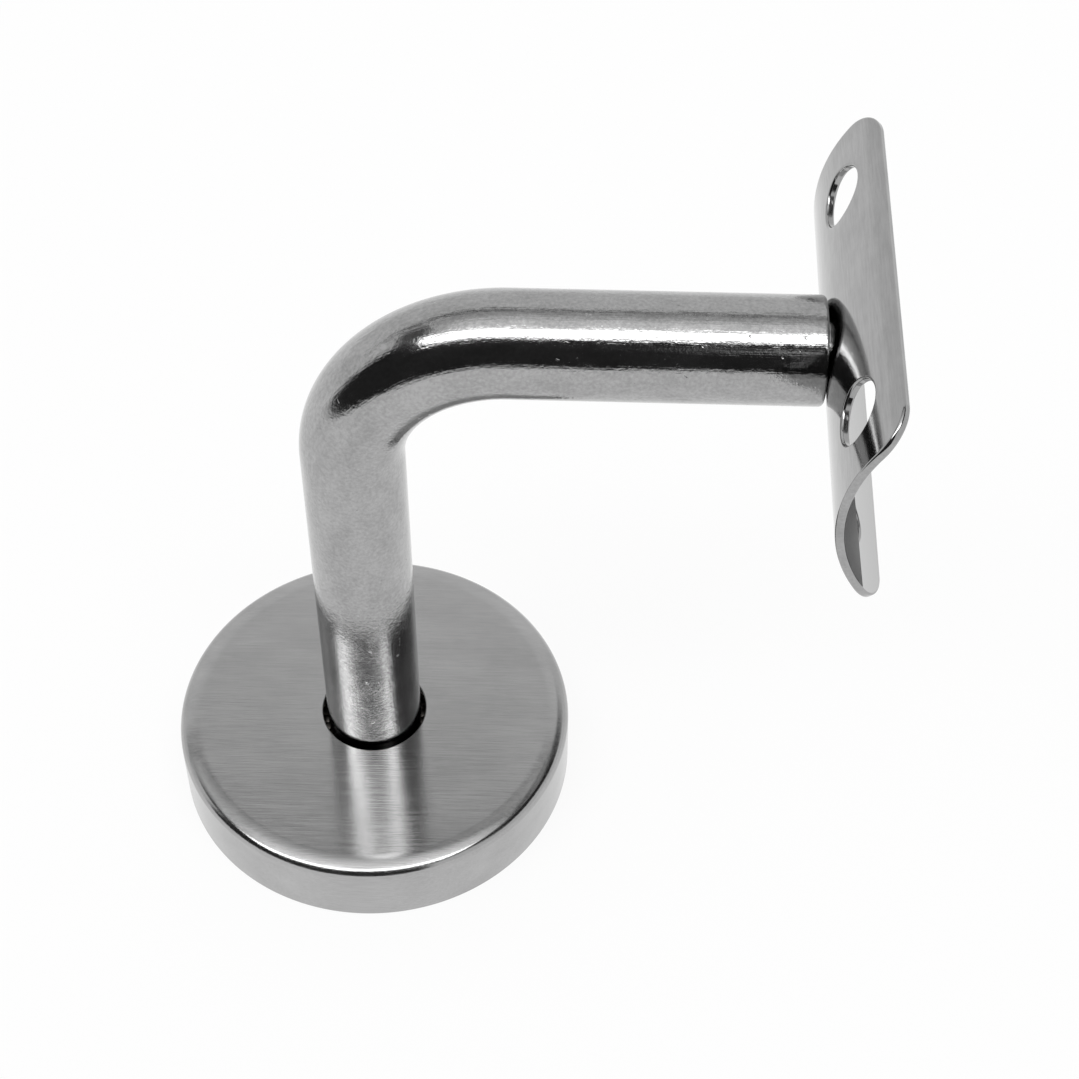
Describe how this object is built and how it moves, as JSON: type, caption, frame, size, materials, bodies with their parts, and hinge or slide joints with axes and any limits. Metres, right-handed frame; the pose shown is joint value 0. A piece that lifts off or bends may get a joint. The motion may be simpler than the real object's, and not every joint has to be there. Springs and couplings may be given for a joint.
{
  "type": "handrail bracket",
  "caption": "Wall bracket for a round handrail: bent solid arm on a round wall flange, sliding cover rose over its screws, and a drilled curved saddle plate that carries the rail.",
  "frame": {"origin": "centre of the wall face, on the line of the arm's foot", "axes": "+Z away from the wall, +X along the arm's free end towards the rail (up once mounted), Y along the rail"},
  "size_m": [0.0828, 0.05, 0.0905],
  "materials": {
    "polished_bar": "polished bar with faint draw marks",
    "turned_flange": "turned",
    "weld_metal": "as welded",
    "brushed_cover": "fine brushed",
    "satin_sheet": "satin"
  },
  "bodies": {
    "bracket": {"arm": "polished_bar", "wall_flange": "turned_flange", "foot_weld": "weld_metal", "saddle_plate": "satin_sheet", "saddle_weld": "weld_metal"},
    "cover": {"cover_rose": "brushed_cover"}
  },
  "joints": [
    {"name": "cover_slide", "type": "slide", "parent": "bracket", "child": "cover", "axis": [0, 0, 1], "range_m": [0, 0.048]}
  ]
}
